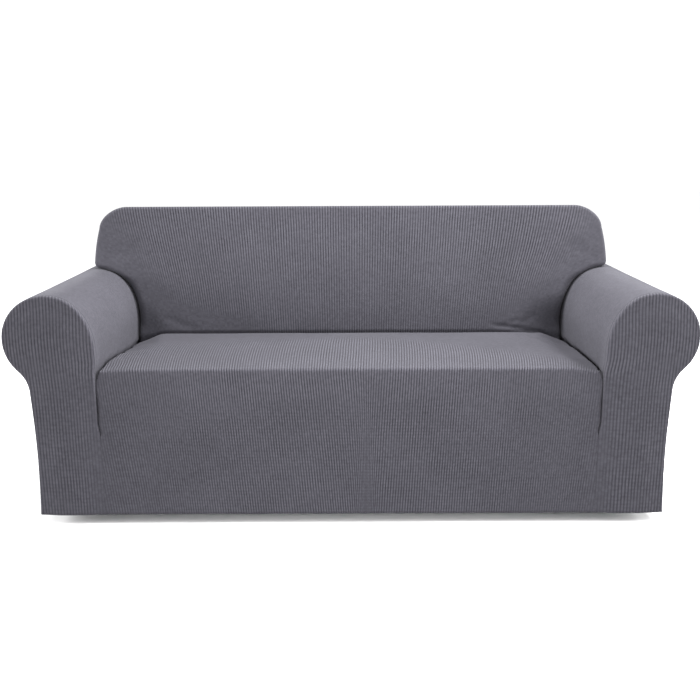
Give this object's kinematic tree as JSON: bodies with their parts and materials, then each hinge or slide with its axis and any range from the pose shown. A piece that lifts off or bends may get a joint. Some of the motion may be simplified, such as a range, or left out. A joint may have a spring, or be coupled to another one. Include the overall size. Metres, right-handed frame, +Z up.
{
  "type": "sofa slipcover",
  "caption": "Fitted stretch slipcover for a three-seat sofa with rolled arms: hollow, tucked in round the seat, skirt hanging to just above the floor.",
  "frame": {"origin": "middle of the cover's width and depth, on the plane of its hem", "axes": "+Z up, +X to the sofa's left arm as a sitter faces, which is the right as seen from the front, -Y out of the front"},
  "size_m": [2.01, 0.86, 0.8711],
  "materials": {
    "stretch_jacquard": "matt grey stretch jacquard knit with fine upright ribs and a small raised check"
  },
  "bodies": {
    "root": {"seat_and_skirt": "stretch_jacquard", "inside_back": "stretch_jacquard", "outside_back": "stretch_jacquard", "arm_left": "stretch_jacquard", "arm_right": "stretch_jacquard", "arm_front_left": "stretch_jacquard", "arm_front_right": "stretch_jacquard"}
  },
  "joints": []
}
